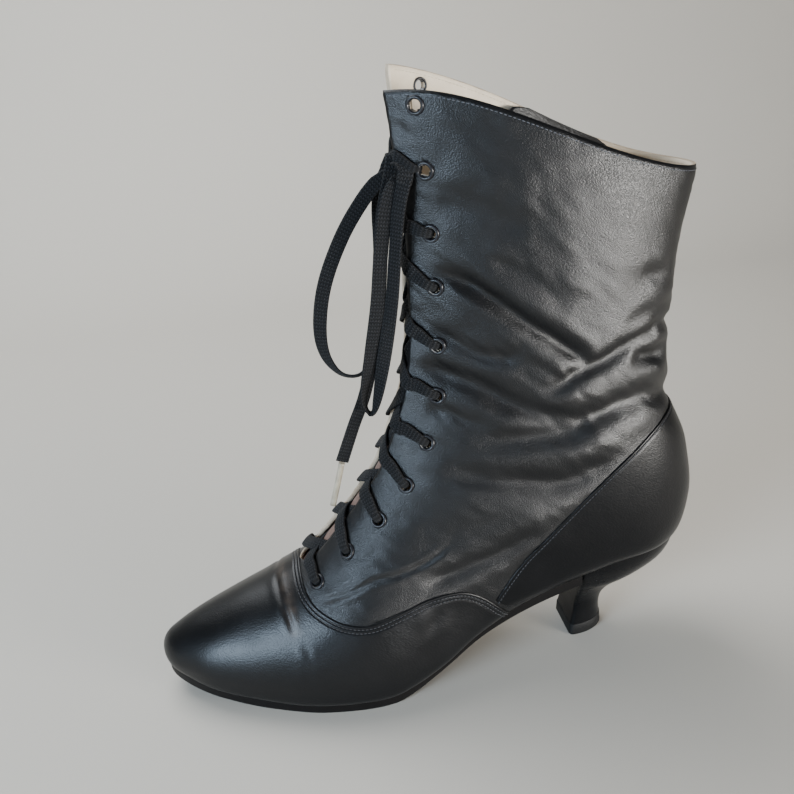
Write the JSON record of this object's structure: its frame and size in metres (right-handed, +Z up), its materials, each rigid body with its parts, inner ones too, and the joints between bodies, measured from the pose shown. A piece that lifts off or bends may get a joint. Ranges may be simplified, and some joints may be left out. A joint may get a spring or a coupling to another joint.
{
  "type": "laced ankle boot",
  "caption": "Black leather laced ankle boot for the left foot, with a pointed toe, curved covered heel, open collar, soft tongue and a flat lace tied in a drooping bow.",
  "frame": {"origin": "on the floor under the middle of the boot's bounding box, measured without the bow", "axes": "toe towards -X, lateral side towards -Y, collar up along +Z"},
  "size_m": [0.252, 0.0788, 0.2655],
  "materials": {
    "black_leather": "semi-gloss black leather, creased by wear",
    "sole_leather": "black stained sole leather, matt",
    "heel_rubber": "matt black rubber",
    "lining_leather": "natural beige lining leather",
    "eyelet_enamel": "black enamel worn to bare metal at the rim",
    "lace_braid": "black flat cotton braid",
    "lace_tag": "pale clear plastic tag"
  },
  "bodies": {
    "root": {"upper": "black_leather", "vamp": "black_leather", "counter": "black_leather", "heel": "black_leather", "tongue": "black_leather", "outsole": "sole_leather", "heel_top_piece": "heel_rubber", "insole": "lining_leather", "eyelet_lateral_01": "eyelet_enamel", "eyelet_lateral_02": "eyelet_enamel", "eyelet_lateral_03": "eyelet_enamel", "eyelet_lateral_04": "eyelet_enamel", "eyelet_lateral_05": "eyelet_enamel", "eyelet_lateral_06": "eyelet_enamel", "eyelet_lateral_07": "eyelet_enamel", "eyelet_lateral_08": "eyelet_enamel", "eyelet_lateral_09": "eyelet_enamel", "eyelet_lateral_10": "eyelet_enamel", "eyelet_lateral_11": "eyelet_enamel", "eyelet_medial_01": "eyelet_enamel", "eyelet_medial_02": "eyelet_enamel", "eyelet_medial_03": "eyelet_enamel", "eyelet_medial_04": "eyelet_enamel", "eyelet_medial_05": "eyelet_enamel", "eyelet_medial_06": "eyelet_enamel", "eyelet_medial_07": "eyelet_enamel", "eyelet_medial_08": "eyelet_enamel", "eyelet_medial_09": "eyelet_enamel", "eyelet_medial_10": "eyelet_enamel", "eyelet_medial_11": "eyelet_enamel", "lace_crossing_03": "lace_braid", "lace_crossing_04": "lace_braid", "lace_crossing_05": "lace_braid", "lace_crossing_06": "lace_braid", "lace_crossing_07": "lace_braid", "lace_crossing_08": "lace_braid", "lace_crossing_09": "lace_braid", "lace_crossing_10": "lace_braid", "lace_crossing_11": "lace_braid", "lace_bar": "lace_braid", "lace_knot": "lace_braid", "lace_loop_front": "lace_braid", "lace_loop_side": "lace_braid", "lace_end": "lace_braid", "lace_end_tag": "lace_tag"}
  },
  "joints": []
}
